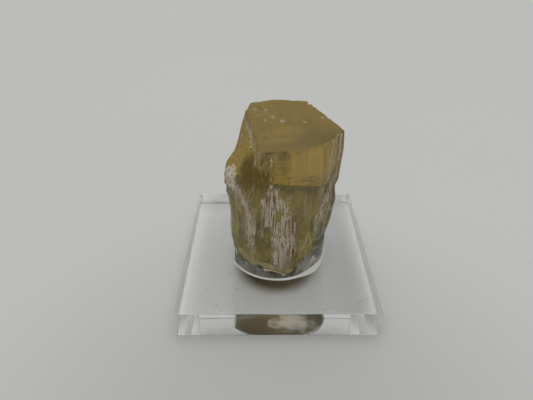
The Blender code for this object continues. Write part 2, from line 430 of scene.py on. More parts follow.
@dataclass(frozen=True)
class SkinFinish:
    """Thin weathered skin on the crystal: pale etched streaks, pinkish and rusty in places."""

    pale: Colour = (0.66, 0.61, 0.48)
    pink: Colour = (0.47, 0.35, 0.25)
    rust: Colour = (0.19, 0.075, 0.04)
    dust: Colour = (0.62, 0.43, 0.10)
    shade: Colour = (0.44, 0.32, 0.11)
    brown: Colour = (0.13, 0.08, 0.02)
    olive: Colour = (0.50, 0.47, 0.24)
    cover: float = 0.85
    # How much of the pattern each grain makes: streaks, flecks and clumps.
    pattern_shares: Point = (0.45, 0.3, 0.25)
    # Where the plates, and the brown and olive stains, begin and are whole.
    plate_span: tuple[float, float] = (1.16, 1.56)
    stain_span: tuple[float, float] = (0.55, 1.25)
    stain_pattern: float = 0.8
    least_film: float = 0.4

    def make(self) -> bpy.types.Material:
        """Builds the material, whose alpha leaves only the streaks.

        Returns:
            The material.
        """
        material, nodes, shader = start_material(
            "weathered_skin", Roughness=0.75, Specular_IOR_Level=0.2,
        )
        weights = {deposit: nodes.attribute(deposit.value) for deposit in Deposit}
        streaks = long_grain(nodes, Fineness=2700.0, Stretch=9.0, Low=0.36, High=0.64)
        flecks = long_grain(nodes, Fineness=3600.0, Stretch=3.0, Low=0.35, High=0.65, Offset=9.0)
        clumps = long_grain(nodes, Fineness=1000.0, Stretch=2.0, Low=0.35, High=0.65, Offset=4.0)
        pattern = nodes.math("MULTIPLY", streaks, self.pattern_shares[0])
        for grain, share in zip((flecks, clumps), self.pattern_shares[1:]):
            pattern = nodes.math("ADD", pattern, nodes.math("MULTIPLY", grain, share))
        whole = nodes.math("MAXIMUM", weights[Deposit.ETCHED], weights[Deposit.RUSTY])
        cover = nodes.ramp(nodes.math("ADD", whole, pattern), *self.plate_span)
        dust = nodes.math("ADD", pattern, self.least_film)
        films = nodes.math("MULTIPLY", weights[Deposit.HAZE], dust)
        hue = long_grain(nodes, Fineness=700.0, Stretch=5.0, Low=0.42, High=0.68, Offset=21.0)
        tone = nodes.blend(pattern, self.shade, self.dust)
        for deposit, colour in ((Deposit.OLIVE, self.olive), (Deposit.BROWN, self.brown)):
            part = nodes.math("MULTIPLY", pattern, self.stain_pattern)
            felt = nodes.ramp(nodes.math("ADD", weights[deposit], part), *self.stain_span)
            share = nodes.math("MULTIPLY", felt, self.cover)
            tone = nodes.blend(share, tone, colour)
            films = nodes.math("MAXIMUM", films, share)
        plates = nodes.math("MULTIPLY", cover, self.cover)
        nodes.put(shader, "Alpha", nodes.math("MAXIMUM", plates, films))
        body = nodes.blend(hue, self.pale, self.pink)
        body = nodes.blend(cover, tone, body)
        lines = long_grain(nodes, Fineness=2200.0, Stretch=11.0, Low=0.53, High=0.61, Offset=5.0)
        red = nodes.math("MULTIPLY", lines, weights[Deposit.RUSTY])
        nodes.put(shader, "Base Color", nodes.blend(red, body, self.rust))
        relief = place_group(nodes, FINE_RELIEF, Fineness=6000.0, Height=0.00006, Strength=0.5)
        nodes.put(shader, "Normal", relief.outputs["Normal"])
        return material


@dataclass(frozen=True)
class GrainFinish:
    """An opaque mineral whose colour changes from grain to grain."""

    name: str
    pale: Colour
    dark: Colour
    roughness: float
    grain: dict[str, float]
    relief: dict[str, float] | None = None

    def make(self) -> bpy.types.Material:
        """Builds the material.

        Returns:
            The material.
        """
        material, nodes, shader = start_material(self.name, Roughness=self.roughness)
        grains = long_grain(nodes, **self.grain)
        nodes.put(shader, "Base Color", nodes.blend(grains, self.pale, self.dark))
        if self.relief:
            relief = place_group(nodes, FINE_RELIEF, **self.relief)
            nodes.put(shader, "Normal", relief.outputs["Normal"])
        return material


CRUMBLY_MATRIX = GrainFinish(
    name="matrix", pale=(0.76, 0.71, 0.57), dark=(0.46, 0.34, 0.22), roughness=0.7,
    grain={"Fineness": 1300.0, "Stretch": 1.0, "Low": 0.45, "High": 0.62},
    relief={"Fineness": 4500.0, "Height": 0.0001, "Strength": 0.7},
)
PALE_SLIVERS = GrainFinish(
    name="slivers", pale=(0.62, 0.58, 0.46), dark=(0.34, 0.29, 0.15), roughness=0.35,
    grain={"Fineness": 2500.0, "Stretch": 4.0, "Low": 0.4, "High": 0.6, "Offset": 13.0},
)


@dataclass(frozen=True)
class SmokeFinish:
    """Brown veils inside the crystal, thick in blocks along the grain."""

    colour: Colour = (0.11, 0.06, 0.01)
    cover: float = 0.75
    mottle: float = 0.7

    def make(self) -> bpy.types.Material:
        """Builds the material.

        Returns:
            The material.
        """
        material, nodes, shader = start_material("smoky_veils", Roughness=0.6)
        weight = nodes.attribute("smoke")
        grain = long_grain(nodes, Fineness=1500.0, Stretch=4.0, Low=0.3, High=0.7, Offset=31.0)
        blocks = nodes.math("ADD", nodes.math("MULTIPLY", grain, self.mottle), 1.0 - self.mottle)
        dense = nodes.math("MULTIPLY", nodes.ramp(weight, 0.0, 1.0), blocks)
        nodes.put(shader, "Alpha", nodes.math("MULTIPLY", dense, self.cover))
        nodes.put(shader, "Base Color", self.colour)
        return material


@dataclass(frozen=True)
class AcrylicFinish:
    """Clear acrylic with faint scuffs."""

    name: str = "clear_acrylic"
    ior: float = 1.49
    tint: Colour = (0.985, 0.99, 0.99)
    transmission: float = 1.0
    polished: float = 0.0
    scuffed: float = 0.09
    relief: float = 0.000004
    scuff_span: tuple[float, float] = (0.45, 0.8)
    # Smudges: their places and reaches in millimetres, how much of each is whole, and specks.
    smudge: Colour = (0.70, 0.69, 0.65)
    smudges: tuple[Point, ...] = ()
    smudge_core: float = 0.3
    speck_span: tuple[float, float] = (0.47, 0.62)

    def make(self) -> bpy.types.Material:
        """Builds the material.

        Returns:
            The material.
        """
        material, nodes, shader = start_material(
            self.name, IOR=self.ior, Transmission_Weight=self.transmission,
        )
        tone = self.tint
        if self.smudges:
            place = nodes.place()
            dirt = nodes.add("ShaderNodeTexNoise", Vector=place, Scale=1500.0, Detail=4.0)
            specks = nodes.ramp(dirt.outputs["Fac"], *self.speck_span)
            for x, y, reach in self.smudges:
                away = nodes.vector("DISTANCE", place, (x * MM, y * MM, SLAB_TOP))
                near = nodes.ramp(away, reach * MM, reach * self.smudge_core * MM)
                tone = nodes.blend(nodes.math("MULTIPLY", near, specks), tone, self.smudge)
        nodes.put(shader, "Base Color", tone)
        relief = place_group(nodes, FINE_RELIEF, Fineness=260.0, Height=self.relief, Strength=0.4)
        rough = nodes.ramp(relief.outputs["Mask"], *self.scuff_span)
        scuffs = nodes.add(
            "ShaderNodeMapRange", Value=rough, To_Min=self.polished, To_Max=self.scuffed,
        )
        nodes.put(shader, "Roughness", scuffs.outputs["Result"])
        nodes.put(shader, "Normal", relief.outputs["Normal"])
        return material


@dataclass(frozen=True)
class SawnFinish:
    """The slab's sawn sides: clear enough to let light out, and whitened by fine saw lines.

    Their index is 1, for a sawn side scatters light out where a polished one would mirror it.
    """

    light: Colour = (1.0, 1.0, 0.975)
    dark: Colour = (0.93, 0.93, 0.90)
    transmission: float = 0.9

    def make(self) -> bpy.types.Material:
        """Builds the material.

        Returns:
            The material.
        """
        material, nodes, shader = start_material(
            "sawn_acrylic", IOR=1.0, Transmission_Weight=self.transmission, Roughness=0.4,
        )
        saw = long_grain(nodes, Fineness=900.0, Stretch=7.0, Low=0.35, High=0.65, Offset=2.0)
        nodes.put(shader, "Base Color", nodes.blend(saw, self.light, self.dark))
        return material


@dataclass(frozen=True)
class ContactFinish:
    """Clear glue where two clear pieces touch, which shows no surface."""

    def make(self) -> bpy.types.Material:
        """Builds the material.

        Returns:
            The material.
        """
        return start_material("clear_contact", Alpha=0.0)[0]


CONTACT = ContactFinish().make()


@dataclass(frozen=True)
class FootFinish:
    """The film of glue under the cradle: cloudy, brown in one place and milky in another. The brown
    spot is also a painted reflection: the crystal's brown image seen down through the base.
    """

    cloudy: Colour = (0.22, 0.18, 0.05)
    # The brown spot is partly a painted reflection of the brown crystal seen through the base.
    brown: Colour = (0.15, 0.09, 0.005)
    milky: Colour = (0.95, 0.91, 0.84)
    mottle: Colour = (0.62, 0.55, 0.36)
    mottled: float = 0.25
    mottle_span: tuple[float, float] = (0.42, 0.64)
    # Each spot's place on the slab and its reach, and how much of it is whole.
    brown_place: Point = (-0.003, -0.006, 0.0075)
    milky_place: Point = (0.0045, -0.0045, 0.0076)
    spot_core: float = 0.45
    cover: float = 0.86
    fray: float = 14 * MM

    def make(self) -> bpy.types.Material:
        """Builds the material.

        Returns:
            The material.
        """
        material, nodes, shader = start_material("glue_film", Alpha=self.cover, Roughness=0.6)
        place = nodes.place()
        cloud = nodes.add("ShaderNodeTexNoise", Vector=place, Scale=420.0, Detail=4.0)
        fray = nodes.math("SUBTRACT", cloud.outputs["Fac"], 0.5)
        fray = nodes.math("MULTIPLY", fray, self.fray)
        shade = self.cloudy
        spots = ((self.brown_place, self.brown), (self.milky_place, self.milky))
        for (x, y, reach), colour in spots:
            near = nodes.math("ADD", nodes.vector("DISTANCE", place, (x, y, SLAB_TOP)), fray)
            share = nodes.ramp(near, reach, reach * self.spot_core)
            shade = nodes.blend(share, shade, colour)
        mottle = nodes.add("ShaderNodeTexNoise", Vector=place, Scale=1100.0, Detail=3.0)
        light = nodes.ramp(mottle.outputs["Fac"], *self.mottle_span)
        light = nodes.math("MULTIPLY", light, self.mottled)
        shade = nodes.blend(light, shade, self.mottle)
        nodes.put(shader, "Base Color", shade)
        return material


@dataclass(frozen=True)
class GlueFinish:
    """Milky dried glue, whose near-white also stands in for a painted highlight along the cradle's
    foot.
    """

    # Near-white: partly the glue's own colour, partly a painted highlight.
    colour: Colour = (0.95, 0.95, 0.92)
    cloudiness: float = 0.85

    def make(self) -> bpy.types.Material:
        """Builds the material.

        Returns:
            The material.
        """
        material, nodes, shader = start_material("glue", Roughness=0.15)
        cloud = place_group(nodes, FINE_RELIEF, Fineness=900.0, Height=0.00002, Strength=0.3)
        shade = nodes.blend(cloud.outputs["Mask"], self.colour, darken(self.colour, self.cloudiness))
        nodes.put(shader, "Base Color", shade)
        nodes.put(shader, "Normal", cloud.outputs["Normal"])
        return material


@dataclass(frozen=True)
class PaperFinish:
    """Plain pale matt floor.

    It glows a little under the clear base, a painted light for the light that goes through it, and
    has a painted brownish shadow in a ring under the crystal, whose shade falls there, with painted
    shade towards the front.
    """

    colour: Colour = (0.715, 0.72, 0.71)
    # Painted light: the floor glows under the clear base, up to its edge, for the light that goes
    # through the base.
    base_reach: float = 0.025
    base_fade: float = 0.96
    base_light: float = 0.15
    cloudiness: float = 0.97
    # Painted shadow of the crystal: a brownish ring on the floor under it, and its reach.
    foot_shadow_colour: Colour = (0.25, 0.19, 0.11)
    foot_reach: float = 0.0125
    # Where the painted shadow ring and the lit middle begin and are whole, in foot reaches.
    ring_outside: tuple[float, float] = (1.0, 0.64)
    ring_inside: tuple[float, float] = (0.35, 0.5)
    lit_middle: tuple[float, float] = (0.65, 0.5)
    shade_centre: Point = (0.0, -0.0036, 0.0)
    light_centre: Point = (0.0, 0.0, 0.0)
    front_centre: Point = (0.0, -0.05, 0.0)
    # Painted light: the glow's colour in the ring's middle, under the cradle.
    foot_light: Colour = (10.5, 9.9, 7.9)
    # Painted shade: the floor darker towards the front, and its glow weaker to the right.
    front_shade: float = 0.82
    front_reach: tuple[float, float] = (0.015, 0.09)
    right_shade: float = 0.75
    right_reach: tuple[float, float] = (0.006, 0.022)

    def make(self) -> bpy.types.Material:
        """Builds the material.

        Returns:
            The material.
        """
        material, nodes, shader = start_material(
            "pale_floor", Roughness=0.9, Emission_Strength=self.base_light,
        )
        cloud = place_group(nodes, FINE_RELIEF, Fineness=3.0, Height=0.0, Strength=0.0)
        cloudy = nodes.ramp(cloud.outputs["Mask"], 0.3, 0.7)
        shade = nodes.blend(cloudy, self.colour, darken(self.colour, self.cloudiness))
        place = nodes.place()
        axes = nodes.add("ShaderNodeSeparateXYZ", Vector=place).outputs
        # Painted shade: the floor darker towards the front.
        near = nodes.vector("DISTANCE", place, self.front_centre)
        dim = darken(self.colour, self.front_shade)
        shade = nodes.blend(nodes.ramp(near, *self.front_reach), dim, shade)
        # Painted shadow: a brownish ring under the crystal.
        shaded = nodes.vector("DISTANCE", place, self.shade_centre)
        middle = nodes.vector("DISTANCE", place, self.light_centre)
        under = nodes.math(
            "MULTIPLY",
            nodes.ramp(shaded, *(self.foot_reach * part for part in self.ring_outside)),
            nodes.ramp(shaded, *(self.foot_reach * part for part in self.ring_inside)),
        )
        nodes.put(shader, "Base Color", nodes.blend(under, shade, self.foot_shadow_colour))
        # Painted light: the floor glows under the base and in the ring's middle, weaker to the
        # right, and not in the ring or outside the base.
        far = nodes.math(
            "MAXIMUM", nodes.math("ABSOLUTE", axes["X"]), nodes.math("ABSOLUTE", axes["Y"]),
        )
        outside = nodes.ramp(far, self.base_reach * self.base_fade, self.base_reach)
        away = nodes.math("MAXIMUM", under, outside)
        inner = nodes.ramp(middle, *(self.foot_reach * part for part in self.lit_middle))
        lit = nodes.blend(inner, self.colour, self.foot_light)
        right = nodes.math("MULTIPLY", nodes.ramp(axes["X"], *self.right_reach), self.right_shade)
        away = nodes.math("MAXIMUM", away, right)
        nodes.put(shader, "Emission Color", nodes.blend(away, lit, (0.0, 0.0, 0.0)))
        return material


# ---------- mesh helpers ----------
def copy_node_mesh(node: str) -> bmesh.types.BMesh:
    """A merged copy of a CAD node's mesh.

    Args:
        node: the node's name.

    Returns:
        The copy, ready to edit.
    """
    bm = bmesh.new()
    bm.from_mesh(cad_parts[node].data)
    bmesh.ops.remove_doubles(bm, verts=bm.verts, dist=1e-7)
    bmesh.ops.dissolve_degenerate(bm, edges=bm.edges, dist=1e-7)
    return bm


def node_surface(node: str) -> BVHTree:
    """A CAD node's surface, for finding the nearest point on it.

    Args:
        node: the node's name.

    Returns:
        The surface.
    """
    bm = bmesh.new()
    bm.from_mesh(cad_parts[node].data)
    surface = BVHTree.FromBMesh(bm)
    bm.free()
    return surface


def to_scene(place: Vector) -> Vector:
    """A place in millimetres above the base's top, in the scene's metres."""
    return place * MM + Vector((0, 0, SLAB_TOP))


def finish_mesh(
    name: str, bm: bmesh.types.BMesh, material: bpy.types.Material, sharp: float,
) -> bpy.types.Object:
    """Turns a bmesh into a shaded piece of the scene.

    Args:
        name: the piece's name.
        bm: its mesh, which is freed.
        material: its finish.
        sharp: edges steeper than this many degrees stay sharp.

    Returns:
        The new object, at the origin.
    """
    mesh = bpy.data.meshes.new(name)
    bm.to_mesh(mesh)
    bm.free()
    mesh.materials.append(material)
    mesh.shade_smooth()
    mesh.set_sharp_from_angle(angle=math.radians(sharp))
    piece = bpy.data.objects.new(name, mesh)
    bpy.context.scene.collection.objects.link(piece)
    return piece


def refine(
    bm: bmesh.types.BMesh, longest: float, rounds: int,
    wanted: Callable[[bmesh.types.BMVert], bool] = lambda vert: True,
) -> None:
    """Splits long edges until none is longer than asked.

    Args:
        bm: the mesh to refine.
        longest: the longest edge to leave, in metres.
        rounds: the most rounds of splitting.
        wanted: whether edges at a vertex are split.
    """
    for _ in range(rounds):
        long_edges = [
            edge for edge in bm.edges if edge.calc_length() > longest and wanted(edge.verts[0])
        ]
        if not long_edges:
            return
        bmesh.ops.subdivide_edges(bm, edges=long_edges, cuts=1)
        bmesh.ops.triangulate(bm, faces=[face for face in bm.faces if len(face.verts) > 3])
        doubled = [edge for edge in bm.edges if len(edge.link_faces) > 2]
        bmesh.ops.collapse(bm, edges=doubled)
        loose = [vert for vert in bm.verts if not vert.link_faces]
        bmesh.ops.delete(bm, geom=loose, context="VERTS")
        wires = [edge for edge in bm.edges if edge.is_wire]
        bmesh.ops.delete(bm, geom=wires, context="EDGES")


def bake_modifiers(piece: bpy.types.Object) -> None:
    """Applies a piece's modifiers to its mesh.

    Args:
        piece: the object to bake.
    """
    graph = bpy.context.evaluated_depsgraph_get()
    mesh = bpy.data.meshes.new_from_object(piece.evaluated_get(graph), depsgraph=graph)
    mesh.name = piece.name
    piece.modifiers.clear()
    piece.data = mesh


def thicken(piece: bpy.types.Object, thickness: float, offset: float) -> None:
    """Makes thin plates of an open surface.

    Args:
        piece: the object, which is baked.
        thickness: the plates' thickness, in metres.
        offset: 1 for plates that stand outwards, and -1 for inwards.
    """
    plates = piece.modifiers.new("plates", "SOLIDIFY")
    plates.thickness = thickness
    plates.offset = offset
    bake_modifiers(piece)


def make_sliver_tree(material: bpy.types.Material) -> bpy.types.NodeTree:
    """Geometry nodes that set slivers on a surface, long way up.

    Args:
        material: the slivers' material.

    Returns:
        The node tree. Density is in slivers a square metre where the etched attribute is 1.
    """
    tree = bpy.data.node_groups.new("spread_slivers", "GeometryNodeTree")
    for name, kind in (
        ("Surface", "Geometry"), ("Density", "Float"), ("Seed", "Int"),
        ("Least", "Vector"), ("Most", "Vector"),
    ):
        tree.interface.new_socket(name, in_out="INPUT", socket_type="NodeSocket" + kind)
    tree.interface.new_socket("Slivers", in_out="OUTPUT", socket_type="NodeSocketGeometry")
    nodes = Nodes(tree)
    given = nodes.add("NodeGroupInput").outputs
    result = nodes.add("NodeGroupOutput")
    etched = nodes.add("GeometryNodeInputNamedAttribute", {"data_type": "FLOAT"}, Name="etched")
    density = nodes.math("MULTIPLY", etched.outputs["Attribute"], given["Density"])
    points = nodes.add(
        "GeometryNodeDistributePointsOnFaces",
        Mesh=given["Surface"], Density=density, Seed=given["Seed"],
    )
    size = nodes.add("FunctionNodeRandomValue", {"data_type": "FLOAT_VECTOR"}, Seed=given["Seed"])
    nodes.put(size, 0, given["Least"])
    nodes.put(size, 1, given["Most"])
    turn = nodes.add(
        "FunctionNodeAlignRotationToVector", {"axis": "Y", "pivot_axis": "Z"},
        Vector=points.outputs["Normal"],
    )
    shape = nodes.add("GeometryNodeMeshIcoSphere", Radius=1.0, Subdivisions=1)
    placed = nodes.add(
        "GeometryNodeInstanceOnPoints", Points=points.outputs["Points"],
        Instance=shape.outputs["Mesh"], Rotation=turn.outputs["Rotation"], Scale=size.outputs[0],
    )
    solid = nodes.add("GeometryNodeRealizeInstances", Geometry=placed.outputs["Instances"])
    painted = nodes.add(
        "GeometryNodeSetMaterial", Geometry=solid.outputs["Geometry"], Material=material,
    )
    nodes.put(result, "Slivers", painted.outputs["Geometry"])
    return tree


# ---------- the crystal ----------
@dataclass(frozen=True)
class Patch:
    """A weathered patch on the crystal, in millimetres above the base's top."""

    centre: Point
    width: float
    height: float
    strength: float
    deposit: Deposit = Deposit.ETCHED

    def weight(self, place: Vector) -> float:
        """How strongly the patch covers a place.

        Args:
            place: a point in the same millimetres.

        Returns:
            The strength at the centre, falling to 0 outside.
        """
        away = place - Vector(self.centre)
        reach = Vector((away.x / self.width, away.y / self.width, away.z / self.height)).length
        return self.strength * max(0.0, 1.0 - reach ** 2)


@dataclass(frozen=True)
class Streak:
    """A weathered streak along a path on the crystal, in millimetres above the base's top."""

    path: tuple[Point, ...]
    width: float
    strength: float = 1.0
    deposit: Deposit = Deposit.ETCHED

    def weight(self, place: Vector) -> float:
        """How strongly the streak covers a place.

        Args:
            place: a point in the same millimetres.

        Returns:
            The strength on the path, falling to 0 at its width.
        """
        x, y, z = place
        nearest = self.width ** 2
        for (x0, y0, z0), (x1, y1, z1) in zip(self.path, self.path[1:]):
            dx, dy, dz = x1 - x0, y1 - y0, z1 - z0
            px, py, pz = x - x0, y - y0, z - z0
            along = (px * dx + py * dy + pz * dz) / (dx * dx + dy * dy + dz * dz)
            along = min(1.0, max(0.0, along))
            off = (px - along * dx) ** 2 + (py - along * dy) ** 2 + (pz - along * dz) ** 2
            nearest = min(nearest, off)
        return self.strength * (1.0 - nearest / self.width ** 2)


@dataclass
class Crystal:
    """The apatite crystal: its clear body, weathered skin, fracture and matrix."""

    longest_edge: float = 0.56 * MM
    refine_rounds: int = 6
    # Edges near pits and the cradle's rim, as shares of the longest edge.
    pit_edge: float = 0.4
    rim_edge: float = 0.45
    rim_reach: float = 0.9 * MM
    # The rim lies lower than this and further out, in millimetres.
    rim_top: float = 16.0
    rim_inside: float = 10.8
    # Sides nearer to the cradle than this keep the CAD's shape.
    cradle_gap: float = 0.36 * MM
    # How far the coarse and fine ridges and the broken ground stand out, in millimetres.
    ridge_heights: Point = (0.055, 0.028, 0.05)
    # Their features a millimetre, across the grain and along it.
    ridge_grain: tuple[tuple[float, float], ...] = ((1.6, 0.09), (3.4, 0.16), (1.5, 0.9))
    # Frost on the top face and on the broken end, where the sides have their etched share.
    top_frost: float = 0.22
    broken_frost: float = 0.3
    # Dust on the top, to the right, to the left and on the left bevel, past a line.
    top_dust: tuple[float, float] = (0.09, 0.33)
    right_dust: float = 0.18
    left_dust: float = 0.08
    bevel_dust: float = 0.62
    bevel_start: float = -4.2
    bevel_fade: float = 1.2
    skin_lift: float = 0.02 * MM
    skin_thickness: float = 0.015 * MM
    # The crust's least weight, its height in millimetres where the weight is 1 more, and its
    # thickness.
    crust_edge: float = 0.25
    crust_height: float = 0.45
    crust_thickness: float = 0.05 * MM
    veil_depth: float = 0.5 * MM
    veil_thickness: float = 0.02 * MM
    patches: tuple[Patch | Streak, ...] = (
        # The white flow from the left shoulder down the left ridge.
        Streak(((-12.0, -4.6, 26.0), (-10.7, -7.7, 25.4), (-9.7, -9.7, 24.8),
                (-8.5, -11.2, 23.6)), 2.3, 1.25),
        Streak(((-8.5, -11.2, 23.6), (-7.3, -12.5, 22.3), (-7.1, -13.1, 20.1)), 1.9, 1.2),
        Streak(((-7.1, -13.1, 20.6), (-7.2, -13.1, 17.1), (-7.0, -13.2, 14.1),
                (-6.9, -12.7, 9.6)), 2.1, 1.05),
        Streak(((-6.0, -13.7, 22.6), (-5.8, -13.6, 18.7), (-6.1, -13.5, 14.6)), 1.09, 0.9),
        # The upper white group on the front, with rusty lines in it.
        Streak(((-2.1, -13.8, 28.3), (-2.1, -13.7, 24.6)), 1.3, 1.1),
        Streak(((-0.6, -13.7, 27.4), (-0.9, -13.6, 24.5)), 1.4, 1.1),
        Streak(((-3.1, -13.8, 24.7), (-2.8, -13.7, 21.6),
                (-2.7, -13.7, 18.4)), 1.9, 1.2, Deposit.RUSTY),
        Streak(((-1.7, -13.7, 25.0), (-1.6, -13.7, 21.4),
                (-1.3, -13.7, 17.4)), 1.9, 1.15, Deposit.RUSTY),
        Streak(((0.1, -13.7, 25.0), (0.0, -13.7, 22.6)), 1.8, 1.1),
        Streak(((1.9, -13.6, 25.2), (1.7, -13.6, 21.6)), 1.5, 1.05),
        # The lower white group, down to the broken end.
        Streak(((1.9, -13.5, 19.4), (1.3, -13.5, 15.0), (1.2, -13.5, 10.5),
                (1.6, -13.4, 4.6)), 2.6, 1.12),
        Streak(((-0.6, -13.6, 17.0), (-0.6, -13.4, 12.4), (-0.5, -13.4, 7.4),
                (-0.3, -13.1, 3.6)), 1.8, 1.12),
        Streak(((2.7, -13.5, 17.8), (3.1, -13.4, 13.7),
                (3.5, -12.9, 8.8)), 2.1, 1.15, Deposit.RUSTY),
        Streak(((2.3, -13.4, 7.2), (2.3, -13.4, 2.4)), 1.59, 1.0, Deposit.RUSTY),
        Streak(((-4.2, -13.6, 16.6), (-4.2, -13.6, 13.6)), 1.16, 0.75, Deposit.RUSTY),
        # Thin light lines on the right of the front.
        Streak(((6.1, -12.3, 25.4), (6.2, -12.2, 22.9), (6.1, -12.1, 18.9)), 0.43, 0.75),
        Streak(((5.2, -12.6, 21.8), (4.6, -12.9, 20.6)), 0.51, 0.75),
        Streak(((3.8, -13.3, 23.2), (2.8, -13.4, 21.0)), 0.43, 0.75),
        Streak(((4.4, -12.9, 19.8), (5.2, -12.4, 16.0)), 2.32, 0.45, Deposit.RUSTY),
        # The right flank.
        Streak(((9.2, -10.4, 18.0), (9.0, -10.5, 14.4), (9.1, -10.2, 10.6)), 1.23, 0.95),
        Streak(((12.5, -6.5, 24.5), (12.2, -7.2, 18.9),
                (11.1, -8.3, 15.0)), 2.17, 0.72, Deposit.RUSTY),
        Streak(((11.0, -8.4, 17.0), (10.6, -8.2, 11.4)), 1.74, 0.62, Deposit.RUSTY),
        Streak(((12.9, -6.2, 26.4), (12.4, -6.8, 23.4),
                (12.0, -7.4, 20.6)), 2.0, 1.0, Deposit.RUSTY),
        Streak(((11.2, -7.9, 22.0), (10.6, -8.6, 19.4),
                (10.4, -8.8, 16.5)), 1.7, 1.15, Deposit.RUSTY),
        # The edges on the upper right.
        Streak(((11.7, -7.6, 36.6), (11.8, -7.7, 33.2), (11.7, -7.8, 29.3),
                (11.3, -8.0, 25.5)), 0.7, 1.0),
        Streak(((12.7, -6.6, 37.2), (12.8, -6.4, 33.7), (12.8, -6.3, 28.6)), 0.9, 0.95),
        Streak(((13.9, -5.2, 37.0), (14.0, -5.0, 33.0), (13.9, -5.0, 26.0)), 1.0, 1.0),
        Streak(((10.0, -9.7, 36.9), (9.9, -9.7, 30.0)), 0.5, 0.9),
        # Hairlines on the upper front.
        Streak(((-1.9, -13.9, 36.6), (-1.9, -13.9, 30.2)), 0.6, 0.74),
        Streak(((-3.4, -13.9, 37.2), (-3.5, -14.0, 33.0)), 0.6, 0.78),
        Streak(((-4.4, -12.8, 37.4), (-4.6, -12.9, 34.0)), 0.6, 0.8),
        Streak(((3.2, -13.6, 34.6), (3.2, -13.5, 30.2)), 0.5, 0.74),
        # The pale fan on the left bevel, and specks behind it on the top.
        Patch((-4.6, 4.6, 37.8), 5.0, 2.0, 0.66),
        Streak(((-8.0, 4.6, 37.0), (-7.7, 2.6, 36.4), (-6.6, -3.6, 36.8),
                (-5.8, -7.3, 36.2)), 1.3, 1.0),
        Streak(((-5.8, -7.3, 36.2), (-5.1, -10.6, 35.6), (-4.8, -12.4, 33.4)), 1.0, 1.0),
        Streak(((-8.8, 2.0, 33.6), (-9.2, -0.6, 31.0), (-9.9, -2.6, 29.2)), 1.3, 0.95),
        Streak(((-3.9, 1.6, 37.9), (-3.9, -4.4, 37.7), (-3.0, -9.3, 37.5)), 0.72, 0.5),
        Streak(((-3.4, -13.0, 36.6), (-3.2, -14.0, 33.0)), 0.72, 0.6),
        # Brown by the shoulder, and olive on the left flank and along the broken edge.
        Patch((-6.6, -10.4, 30.2), 4.6, 5.6, 1.05, Deposit.BROWN),
        Patch((-4.0, -13.4, 31.0), 4.0, 3.6, 0.85, Deposit.BROWN),
        Patch((-10.6, -8.0, 13.0), 3.6, 9.5, 0.65, Deposit.OLIVE),
        Streak(((-9.6, -10.0, 6.6), (-5.5, -13.0, 4.8), (-1.0, -13.6, 3.4),
                (3.0, -13.4, 2.4)), 1.5, 1.15, Deposit.OLIVE),
        Patch((-6.4, -12.6, 7.0), 3.4, 3.8, 0.7, Deposit.OLIVE),
        Patch((7.3, -11.6, 9.2), 4.2, 7.5, 0.75, Deposit.OLIVE),
        # The unseen back and sides.
        Patch((6.0, 10.6, 20.0), 3.4, 8.0, 0.9),
        Patch((-4.5, 11.2, 28.0), 3.0, 7.0, 0.8, Deposit.RUSTY),
        Patch((11.0, 3.5, 15.0), 3.4, 7.5, 0.9, Deposit.RUSTY),
        Patch((-10.5, 5.5, 14.0), 3.0, 7.0, 0.9),
    )
    smoke: tuple[Patch | Streak, ...] = (
        Patch((0.8, -13.8, 36.0), 1.9, 1.5, 1.0),
        Patch((0.9, -13.7, 33.2), 2.0, 2.0, 0.5),
        Patch((-2.4, -14.0, 34.6), 2.2, 3.4, 0.55),
        Patch((-4.4, -13.6, 17.8), 2.4, 4.6, 0.55),
        Patch((4.8, -12.9, 18.6), 3.0, 4.6, 0.5),
    )
    crust: tuple[Patch, ...] = (
        Patch((-11.2, -5.4, 27.2), 2.6, 2.2, 1.0),
        Patch((-12.2, -3.4, 25.0), 2.6, 2.4, 1.0),
        Patch((-11.0, -6.4, 25.2), 1.8, 1.6, 0.8),
    )
    # Pits in the top face: across, back, and radius.
    pits: tuple[Point, ...] = (
        (-5.4, 6.3, 0.9), (-2.9, 6.2, 0.8), (-1.5, 2.2, 0.75), (1.0, 0.0, 1.0), (6.0, -0.5, 0.6),
        (10.4, 1.7, 0.7), (7.6, 9.6, 0.8), (-4.3, 3.6, 0.6), (-3.2, 0.4, 0.55), (3.8, -13.9, 0.5),
        (-0.8, -14.3, 0.5),
    )
    pit_strength: float = 2.2
    top: float = 37.8
    # The clear window's span across the front, and how far back it goes.
    window: tuple[float, float] = (2.0, 9.6)
    window_back: float = -9.5
    # The fracture's air gap, a place on it, and how it falls to the right and to the back.
    fracture_gap: float = 0.05
    fracture_place: Point = (-0.6, -13.8, 29.4)
    fracture_dip: tuple[float, float] = (0.131, 0.427)
    # Flat cracks: their thickness and waves, and each one's centre and half lengths across and
    # front to back.
    void_thickness: float = 0.03
    void_ripple: float = 0.16
    voids: tuple[tuple[float, float, float, float, float], ...] = (
        (6.4, -11.0, 29.6, 1.9, 0.8), (7.3, -10.4, 28.7, 1.7, 0.7), (5.4, -11.2, 28.9, 1.3, 0.6),
        (0.8, -12.6, 34.2, 1.7, 0.8), (0.0, -12.4, 31.4, 1.5, 0.7), (1.6, -12.2, 30.4, 1.2, 0.6),
        (-5.6, -8.0, 35.4, 0.9, 0.6),
    )
    # The striated crystal before it is cut, which the plates and slivers follow.
    whole: bmesh.types.BMesh | None = field(default=None, init=False, repr=False)
    sliver_inputs: dict[str, object] = field(default_factory=lambda: {
        "Density": 7.0e6, "Seed": 4,
        "Least": (0.015 * MM, 0.008 * MM, 0.12 * MM), "Most": (0.05 * MM, 0.02 * MM, 0.6 * MM),
    })

